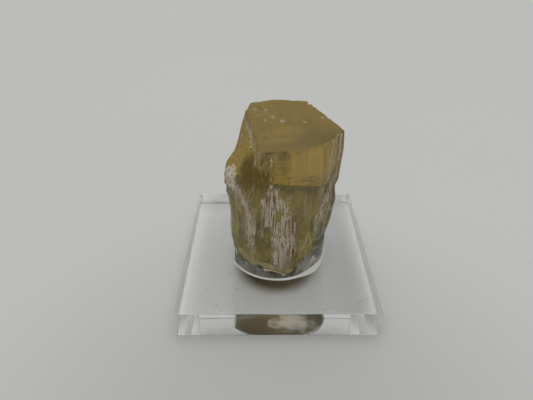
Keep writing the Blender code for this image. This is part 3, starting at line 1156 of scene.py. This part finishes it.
    def haze(self, place: Vector) -> float:
        """How dusty the surface is: most on the left bevel, least in the clear window.

        Args:
            place: a point in millimetres above the base's top.

        Returns:
            The weight of the dust film.
        """
        if place.z > self.top - 1.2:
            thinnest, thickest = self.top_dust
            return min(thickest, max(thinnest, 0.30 + 0.014 * place.y - 0.004 * place.x))
        if place.z < self.fracture_height(place) or self.in_window(place):
            return 0.0
        if place.x > 0:
            return self.right_dust
        past = min(1.0, max(0.0, (self.bevel_start - place.x) / self.bevel_fade))
        return self.left_dust + self.bevel_dust * past

    def in_window(self, place: Vector) -> bool:
        """Whether a place lies in the clear window's span across the front."""
        left, right = self.window
        return left < place.x < right

    def crust_weight(self, place: Vector) -> float:
        """How thickly the matrix crust covers a place."""
        return max(patch.weight(place) for patch in self.crust)

    def place_of(self, vert: bmesh.types.BMVert) -> Vector:
        """A vertex's place in millimetres above the base's top."""
        return Vector((vert.co.x, vert.co.y, vert.co.z - SLAB_TOP)) / MM

    def is_side(self, vert: bmesh.types.BMVert) -> bool:
        """Whether every face round the vertex belongs to the prism's sides."""
        return all(-0.6 < face.normal.z < 0.8 for face in vert.link_faces)

    def etched_share(self, place: Vector) -> float:
        """How rough the prism's sides are at a place, from 0 at the clear window to 1.

        Args:
            place: a point in millimetres above the base's top.

        Returns:
            The share.
        """
        if place.z < self.fracture_height(place):
            return 1.0
        return 0.08 if self.in_window(place) and place.y < self.window_back else 0.2

    def relief(self, place: Vector) -> float:
        """Height of the fine striations at a place on the prism's sides.

        Args:
            place: a point in millimetres above the base's top.

        Returns:
            The outward displacement in millimetres.
        """
        coarse, fine, broken = (
            noise.noise(Vector((place.x * across, place.y * across, place.z * along)))
            for across, along in self.ridge_grain
        )
        share = self.etched_share(place)
        high, low, rough = self.ridge_heights
        return share * (high * coarse + low * fine) + rough * max(0.0, share - 0.4) * broken

    def weigh(self, place: Vector, deposit: Deposit) -> float:
        """The strongest patch of a deposit at a place.

        Args:
            place: a point in millimetres above the base's top.
            deposit: the kind of patch.

        Returns:
            The weight, 0 outside every patch.
        """
        return max(patch.weight(place) for patch in self.patches if patch.deposit is deposit)

    def near_pit(self, vert: bmesh.types.BMVert) -> bool:
        """Whether a vertex is at a pit."""
        return self.pit_weight(self.place_of(vert)) > 0.0

    def near_rim(self, vert: bmesh.types.BMVert, cradle: BVHTree) -> bool:
        """Whether a vertex is at the front, where the crystal's sides go into the cradle.

        Args:
            vert: the vertex.
            cradle: the cradle's surface.

        Returns:
            True near the cradle's rim.
        """
        x, y, z = self.place_of(vert)
        if y > 0.0 or z > self.rim_top or math.hypot(x, y) < self.rim_inside:
            return False
        return cradle.find_nearest(vert.co, self.rim_reach)[0] is not None

    def pit_weight(self, place: Vector) -> float:
        """How strongly the nearest pit in the top face whitens a place.

        Args:
            place: a point in millimetres above the base's top.

        Returns:
            The weight, 0 away from every pit.
        """
        if place.z < self.top - 2.0:
            return 0.0
        return max(
            max(0.0, self.pit_strength - 2.0 * math.hypot(place.x - x, place.y - y) / radius)
            for x, y, radius in self.pits
        )

    def fracture_height(self, place: Vector) -> float:
        """Height of the fracture, which dips to the back, above or below a place.

        Args:
            place: a point in millimetres above the base's top.

        Returns:
            The height in the same millimetres.
        """
        x, y, z = self.fracture_place
        dip_x, dip_y = self.fracture_dip
        return z - dip_x * (place.x - x) - dip_y * (place.y - y)

    def cut_at_fracture(self, bm: bmesh.types.BMesh, keep_upper: bool) -> bmesh.types.BMesh:
        """One part of the crystal, closed at the fracture.

        Args:
            bm: the whole crystal's mesh, which is left as it is.
            keep_upper: whether the part above the fracture is wanted.

        Returns:
            The part.
        """
        part = bm.copy()
        shift = self.fracture_gap / 2 if keep_upper else -self.fracture_gap / 2
        x, y, z = self.fracture_place
        bmesh.ops.bisect_plane(
            part, geom=part.verts[:] + part.edges[:] + part.faces[:], dist=1e-9,
            plane_co=to_scene(Vector((x, y, z + shift))),
            plane_no=Vector((*self.fracture_dip, 1.0)).normalized(),
            clear_inner=keep_upper, clear_outer=not keep_upper,
        )
        rim = [edge for edge in part.edges if edge.is_boundary]
        filled = bmesh.ops.holes_fill(part, edges=rim, sides=0)["faces"]
        cap = set(bmesh.ops.triangulate(part, faces=filled)["faces"])
        for face in part.faces:
            if keep_upper:
                face.material_index = CrystalPart.CLEAR
            elif face in cap or face.material_index != CrystalPart.BROKEN:
                face.material_index = CrystalPart.CLOUDY
        return part

    def add_voids(self, bm: bmesh.types.BMesh) -> None:
        """Flat cracks inside the clear part, which catch the light as golden lines.

        Args:
            bm: the clear part's mesh, which gets them.
        """
        for index, (x, y, z, across, deep) in enumerate(self.voids):
            fresh = bmesh.ops.create_icosphere(bm, subdivisions=3, radius=1.0)["verts"]
            for vert in fresh:
                ripple = noise.noise(Vector((vert.co.x * 1.6, vert.co.y * 1.6, index * 7.3)))
                height = vert.co.z * self.void_thickness + ripple * self.void_ripple
                flat = Vector((vert.co.x * across, vert.co.y * deep, height))
                vert.co = to_scene(Vector((x, y, z)) + flat)
            inner = {face for vert in fresh for face in vert.link_faces}
            bmesh.ops.reverse_faces(bm, faces=list(inner))

    def build_body(self) -> bpy.types.Object:
        """The crystal's body: the CAD prism with fine striations, parted by the fracture.

        Returns:
            The piece, which replaces the CAD crystal.
        """
        cradle = node_surface("acrylic_cradle")
        bm = copy_node_mesh("apatite_crystal")
        refine(bm, self.longest_edge, self.refine_rounds)
        refine(bm, self.longest_edge * self.pit_edge, 2, self.near_pit)
        refine(bm, self.longest_edge * self.rim_edge, 2, lambda vert: self.near_rim(vert, cradle))
        bm.normal_update()
        moves = {}
        for vert in bm.verts:
            near = cradle.find_nearest(vert.co, self.cradle_gap)[0] is not None
            if self.is_side(vert) and not near:
                outward = Vector((vert.normal.x, vert.normal.y, 0.0)).normalized()
                moves[vert] = outward * self.relief(self.place_of(vert)) * MM
        for face in bm.faces:
            free = any(vert in moves for vert in face.verts)
            face.material_index = CrystalPart.CLEAR if free else CrystalPart.BROKEN
        for vert, move in moves.items():
            vert.co += move
        frost = bm.verts.layers.float.new("frost")
        for vert in bm.verts:
            place = self.place_of(vert)
            on_top = place.z > self.top - 1.0 and vert.normal.z > 0.8
            if on_top:
                vert[frost] = self.top_frost
            else:
                vert[frost] = self.etched_share(place) if vert in moves else self.broken_frost
        self.whole = bm.copy()
        upper = self.cut_at_fracture(bm, True)
        self.add_voids(upper)
        lower = self.cut_at_fracture(bm, False)
        bm.free()
        halves = bpy.data.meshes.new("upper")
        upper.to_mesh(halves)
        upper.free()
        lower.from_mesh(halves)
        bpy.data.meshes.remove(halves)
        body = finish_mesh("crystal_body", lower, CLEAR_APATITE.make(), sharp=32)
        body.data.materials.append(CLOUDY_APATITE.make())
        body.data.materials.append(BROKEN_APATITE.make())
        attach(body, ROOT)
        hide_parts("apatite_crystal")
        return body

    def peel(
        self, weights: dict[str, Callable[[Vector], float]], least: float,
    ) -> bmesh.types.BMesh:
        """The faces of the crystal's surface where any weight is felt.

        Args:
            weights: for each vertex attribute, what gives it at a place.
            least: faces whose strongest weight is under this are left out.

        Returns:
            The open surface, with the weights on its vertices.
        """
        bm = self.whole.copy()
        layers = {name: bm.verts.layers.float.new(name) for name in weights}
        for vert in bm.verts:
            place = self.place_of(vert)
            for name, layer in layers.items():
                vert[layer] = weights[name](place)
        bare = [
            face for face in bm.faces
            if max(vert[layer] for vert in face.verts for layer in layers.values()) < least
        ]
        bmesh.ops.delete(bm, geom=bare, context="FACES")
        bm.normal_update()
        return bm

    def build_skin(self) -> bpy.types.Object:
        """The weathered skin: thin plates that follow the body where patches lie.

        Returns:
            The piece.
        """
        bm = self.peel({
            Deposit.ETCHED.value: lambda place: max(
                self.weigh(place, Deposit.ETCHED), self.pit_weight(place)),
            Deposit.RUSTY.value: lambda place: self.weigh(place, Deposit.RUSTY),
            Deposit.HAZE.value: self.haze,
            Deposit.BROWN.value: lambda place: self.weigh(place, Deposit.BROWN),
            Deposit.OLIVE.value: lambda place: self.weigh(place, Deposit.OLIVE),
        }, least=0.02)
        for vert in bm.verts:
            vert.co += vert.normal * self.skin_lift
        skin = finish_mesh("weathered_skin", bm, SkinFinish().make(), sharp=40)
        thicken(skin, self.skin_thickness, offset=1.0)
        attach(skin, ROOT)
        return skin

    def build_crust(self) -> bpy.types.Object:
        """The pale crust of matrix on the left shoulder.

        Returns:
            The piece.
        """
        bm = self.peel({"crust": self.crust_weight}, least=self.crust_edge)
        crust = bm.verts.layers.float["crust"]
        for vert in bm.verts:
            place = self.place_of(vert)
            lump = noise.noise(place * 1.1) + 0.5 * noise.noise(place * 2.6)
            thick = self.crust_height * max(0.0, vert[crust] - self.crust_edge)
            lift = 0.05 + thick * (0.6 + lump)
            vert.co += vert.normal * max(0.03, lift) * MM
        piece = finish_mesh("matrix_crust", bm, CRUMBLY_MATRIX.make(), sharp=40)
        thicken(piece, self.crust_thickness, offset=-1.0)
        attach(piece, ROOT)
        return piece

    def build_smoke(self) -> bpy.types.Object:
        """Brownish veils a little way inside the crystal.

        Returns:
            The piece.
        """
        bm = self.peel({
            "smoke": lambda place: max(patch.weight(place) for patch in self.smoke),
        }, least=0.03)
        for vert in bm.verts:
            vert.co -= vert.normal * self.veil_depth
        veils = finish_mesh("smoky_veils", bm, SmokeFinish().make(), sharp=40)
        thicken(veils, self.veil_thickness, offset=-1.0)
        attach(veils, ROOT)
        return veils

    def build_slivers(self) -> bpy.types.Object:
        """Fine slivers that stand along the grain where the surface is etched.

        Returns:
            The piece.
        """
        ground = self.peel({
            "etched": lambda place: max(
                self.weigh(place, Deposit.ETCHED), self.weigh(place, Deposit.RUSTY)),
        }, least=0.15)
        piece = finish_mesh("slivers", ground, PALE_SLIVERS.make(), sharp=40)
        spread = piece.modifiers.new("spread", "NODES")
        spread.node_group = make_sliver_tree(piece.data.materials[0])
        for socket in spread.node_group.interface.items_tree:
            if socket.in_out == "INPUT" and socket.name in self.sliver_inputs:
                spread[socket.identifier] = self.sliver_inputs[socket.name]
        bake_modifiers(piece)
        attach(piece, ROOT)
        return piece


# ---------- the stand ----------
@dataclass
class Stand:
    """The square base and the round cradle."""

    edge_break: float = 0.2 * MM
    edge_segments: int = 3
    # Faint marks on the slab's top: their places and how far they reach, in millimetres.
    smudges: tuple[Point, ...] = (
        (-12.5, -11.3, 1.5), (-11.3, -11.0, 1.0), (-9.7, -16.8, 1.4), (-8.1, -16.9, 1.1),
        (20.2, -21.4, 1.6), (21.6, -20.7, 1.1), (10.9, -23.6, 1.4), (12.1, -23.2, 1.0),
        (-19.4, -19.2, 0.7), (-15.1, -22.3, 0.6), (-7.0, -20.0, 0.6), (16.4, -8.6, 0.7),
    )
    # The cradle's round and flat sides, and the bead, in millimetres.
    cradle_radius: float = 13.2
    cradle_middle: float = -0.7
    cradle_flat: float = -11.7
    flat_margin: float = 0.1
    round_margin: float = 0.2
    bead: float = 0.46
    bead_even: float = 0.75
    bead_wobble: float = 0.3
    bead_on_flat: float = 0.4
    bead_hollow: tuple[float, float] = (0.45, 0.35)
    bead_steps: int = 128
    bead_bite: float = 0.05
    # The bead is thickest at the front right, by this share and at this angle, where its white glue
    # paints in a glint.
    bead_glint_lump: float = 1.5
    bead_glint_lump_angle: float = math.radians(-44)
    bead_glint_lump_narrowness: int = 24

    def build_slab(self) -> bpy.types.Object:
        """The square slab with finely broken edges.

        Returns:
            The piece, which replaces the CAD slab.
        """
        low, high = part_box("acrylic_base")
        bm = bmesh.new()
        bmesh.ops.create_cube(bm, size=1.0)
        bmesh.ops.scale(bm, vec=high - low, verts=bm.verts)
        bmesh.ops.translate(bm, vec=(low + high) / 2, verts=bm.verts)
        bmesh.ops.bevel(
            bm, geom=list(bm.edges), offset=self.edge_break, segments=self.edge_segments,
            profile=0.5, affect="EDGES",
        )
        self.mark_foot(bm, high.z)
        bm.normal_update()
        for face in bm.faces:
            if abs(face.normal.y) > 0.7:
                face.material_index = SlabPart.POLISHED
            elif abs(face.normal.x) > 0.7:
                face.material_index = SlabPart.SAWN
        slab = finish_mesh("slab_body", bm, AcrylicFinish(smudges=self.smudges).make(), sharp=5)
        edges = AcrylicFinish(
            name="polished_edges", scuffed=0.12, relief=0.00001, tint=(1.0, 1.0, 0.99),
        )
        slab.data.materials.append(edges.make())
        slab.data.materials.append(FootFinish().make())
        slab.data.materials.append(SawnFinish().make())
        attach(slab, ROOT)
        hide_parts("acrylic_base")
        return slab

    def mark_foot(self, bm: bmesh.types.BMesh, height: float) -> None:
        """Parts the slab's top into the glued disc under the cradle and the rest.

        Args:
            bm: the slab's mesh.
            height: the height of its top.
        """
        cradle = copy_node_mesh("acrylic_cradle")
        cradle.normal_update()
        rim = [
            edge for edge in cradle.edges
            if sum(face.normal.z < -0.9 for face in edge.link_faces) == 1
            and all(vert.co.z < height + 0.4 * MM for vert in edge.verts)
        ]
        level = [face for face in bm.faces if face.normal.z > 0.99]
        top = max(level, key=lambda face: face.calc_area())
        outline = list(top.edges)
        bmesh.ops.delete(bm, geom=[top], context="FACES_ONLY")
        made = {}
        for edge in rim:
            for vert in edge.verts:
                if vert.index not in made:
                    made[vert.index] = bm.verts.new((vert.co.x, vert.co.y, height))
        ring = [bm.edges.new([made[vert.index] for vert in edge.verts]) for edge in rim]
        cradle.free()
        bmesh.ops.triangle_fill(bm, use_beauty=True, edges=outline + ring)
        disc = bmesh.ops.contextual_create(bm, geom=ring)["faces"]
        for face in disc:
            face.material_index = SlabPart.GLUED
        bmesh.ops.recalc_face_normals(bm, faces=bm.faces)

    def build_cradle(self) -> bpy.types.Object:
        """The cradle, grown into the slab and the crystal by a trace so that light passes.

        Returns:
            The piece, which replaces the CAD cradle.
        """
        bm = copy_node_mesh("acrylic_cradle")
        bm.normal_update()
        reach = GLUE_FILM + CONTACT_OVERLAP
        contact = 1.2 * GLUE_FILM
        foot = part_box("acrylic_cradle")[0].z + 0.05 * MM
        crystal = node_surface("apatite_crystal")
        touching = {
            vert for vert in bm.verts
            if vert.co.z < foot or crystal.find_nearest(vert.co, contact)[0] is not None
        }
        for face in bm.faces:
            x, y, _ = face.calc_center_median() / MM
            out = math.hypot(x, y - self.cradle_middle)
            wall = x < self.cradle_flat + self.flat_margin
            wall = wall or out > self.cradle_radius - self.round_margin
            wall = wall and abs(face.normal.z) < 0.2
            glued = not wall and all(vert in touching for vert in face.verts)
            face.material_index = 1 if glued else 0
        for vert in bm.verts:
            near, _, _, gap = crystal.find_nearest(vert.co)
            if vert.co.z < foot:
                vert.co.z -= reach
            elif gap < contact:
                vert.co += (near - vert.co).normalized() * (gap + CONTACT_OVERLAP)
        finish = AcrylicFinish(
            name="clear_cradle", tint=(1.0, 0.99, 0.95), scuffed=0.06, relief=0.000006,
        )
        cradle = finish_mesh("cradle_body", bm, finish.make(), sharp=25)
        cradle.data.materials.append(CONTACT)
        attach(cradle, ROOT)
        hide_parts("acrylic_cradle")
        return cradle

    def build_bead(self) -> bpy.types.Object:
        """The thin milky bead of glue round the cradle's foot, whose white also paints in the
        highlight along it.

        Returns:
            The piece.
        """
        bm = bmesh.new()
        rings = []
        for step in range(self.bead_steps):
            angle = 2 * math.pi * step / self.bead_steps
            x, y = math.cos(angle), math.sin(angle)
            # Thicker white glue at the front right paints in the glint there.
            facing = max(0.0, math.cos(angle - self.bead_glint_lump_angle))
            lump = self.bead_glint_lump * facing ** self.bead_glint_lump_narrowness
            wobble = self.bead_wobble * noise.noise(Vector((x * 2, y * 2, 3)))
            size = self.bead * (self.bead_even + wobble + lump)
            size *= self.bead_on_flat if x < self.cradle_flat / self.cradle_radius else 1.0
            hollow = tuple(size * share for share in self.bead_hollow)
            on_flat = x * self.cradle_radius <= self.cradle_flat
            reach = self.cradle_flat / x if on_flat else self.cradle_radius
            outline = (
                (-self.bead_bite, -self.bead_bite), (size, -self.bead_bite), hollow,
                (0.0, size), (-self.bead_bite, size),
            )
            rings.append([
                bm.verts.new(Vector((
                    x * (reach + out), y * (reach + out) + self.cradle_middle, up + SLAB_TOP / MM,
                )) * MM)
                for out, up in outline
            ])
        for ring, following in zip(rings, rings[1:] + rings[:1]):
            for index in range(len(ring)):
                nearby = (index + 1) % len(ring)
                bm.faces.new((ring[index], ring[nearby], following[nearby], following[index]))
        bmesh.ops.recalc_face_normals(bm, faces=bm.faces)
        bead = finish_mesh("glue_bead", bm, GlueFinish().make(), sharp=60)
        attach(bead, ROOT)
        return bead


# ---------- the set ----------
@dataclass
class Studio:
    """Floor, light and camera."""

    floor_size: float = 6.0
    floor_drop: float = 0.05 * MM
    backdrop: Colour = (0.56, 0.58, 0.58)
    dark_room: Colour = (0.19, 0.195, 0.195)
    side_wall: Colour = (0.17, 0.165, 0.155)
    upper_wall: Colour = (0.52, 0.52, 0.51)
    softbox: Colour = (1.98, 1.98, 1.95)
    # Where each begins and is whole, by how far a ray looks up, or aside for the side wall.
    dark_room_span: tuple[float, float] = (0.39, 0.43)
    upper_wall_span: tuple[float, float] = (0.50, 0.53)
    side_wall_span: tuple[float, float] = (0.38, 0.60)
    softbox_span: tuple[float, float] = (0.80, 0.92)
    front_shade: float = 0.85
    # The lens and the frame's width in pixels, and the camera's place in slab sides.
    lens_px: float = 415.87
    frame_px: float = 533.0
    slab_side: float = 50 * MM
    camera_shares: Point = (-0.0672, -1.7875, 1.5805)
    yaw: float = math.radians(0.364)
    pitch: float = math.radians(35.479)
    roll: float = math.radians(0.162)

    def build_floor(self) -> bpy.types.Object:
        """The plain floor that the base lies on.

        Returns:
            The floor, which is staging.
        """
        bm = bmesh.new()
        bmesh.ops.create_grid(bm, x_segments=1, y_segments=1, size=self.floor_size / 2)
        bmesh.ops.translate(bm, vec=(0, 0, -self.floor_drop), verts=bm.verts)
        # Its finish paints light under the base and shade round it.
        floor = finish_mesh("floor", bm, PaperFinish().make(), sharp=30)
        return floor

    def build_light(self) -> None:
        """A pale backdrop low down, a darker room over it and a wide softbox overhead."""
        world = bpy.data.worlds.new("pale_room")
        world.use_nodes = True
        nodes = Nodes(world.node_tree)
        way = nodes.add("ShaderNodeTexCoord").outputs["Generated"]
        axes = nodes.add("ShaderNodeSeparateXYZ", Vector=way).outputs
        aside = nodes.math("ABSOLUTE", axes["X"])
        shade = self.backdrop
        for axis, span, colour in (
            (axes["Z"], self.dark_room_span, self.dark_room),
            (axes["Z"], self.upper_wall_span, self.upper_wall),
            (aside, self.side_wall_span, self.side_wall),
            (axes["Z"], self.softbox_span, self.softbox),
        ):
            shade = nodes.blend(nodes.ramp(axis, *span), shade, colour)
        dim = nodes.add(
            "ShaderNodeMapRange", Value=axes["Y"], From_Min=-1.0, From_Max=0.6,
            To_Min=self.front_shade,
        )
        background = world.node_tree.nodes["Background"]
        nodes.put(background, "Color", shade)
        nodes.put(background, "Strength", dim.outputs["Result"])
        bpy.context.scene.world = world

    def build_camera(self) -> None:
        """The camera at the photograph's angle, fitted to the slab's corners."""
        forward = Vector((
            math.sin(self.yaw) * math.cos(self.pitch),
            math.cos(self.yaw) * math.cos(self.pitch),
            -math.sin(self.pitch),
        ))
        level = Vector((math.cos(self.yaw), -math.sin(self.yaw), 0.0))
        upward = level.cross(forward)
        right = math.cos(self.roll) * level + math.sin(self.roll) * upward
        up = -math.sin(self.roll) * level + math.cos(self.roll) * upward
        data = bpy.data.cameras.new("camera")
        data.sensor_width = 36.0
        data.lens = self.lens_px * data.sensor_width / self.frame_px
        data.clip_start = 1 * MM
        camera = bpy.data.objects.new("camera", data)
        place = Matrix((right, up, -forward)).transposed().to_4x4()
        place.translation = Vector(self.camera_shares) * self.slab_side + Vector((0, 0, SLAB_TOP))
        camera.matrix_world = place
        bpy.context.scene.collection.objects.link(camera)
        bpy.context.scene.camera = camera


def main() -> None:
    """Builds every piece in order and reports it."""
    logging.basicConfig(level=logging.INFO)
    bpy.context.scene.view_settings.view_transform = "Standard"
    studio = Studio()
    studio.build_camera()
    studio.build_light()
    stand = Stand()
    crystal = Crystal()
    for build in (
        studio.build_floor, stand.build_slab, stand.build_cradle, stand.build_bead,
        crystal.build_body, crystal.build_skin, crystal.build_crust, crystal.build_smoke,
        crystal.build_slivers,
    ):
        piece = build()
        LOG.info("%s: %d faces", piece.name, len(piece.data.polygons))


if __name__ == "__main__":
    main()
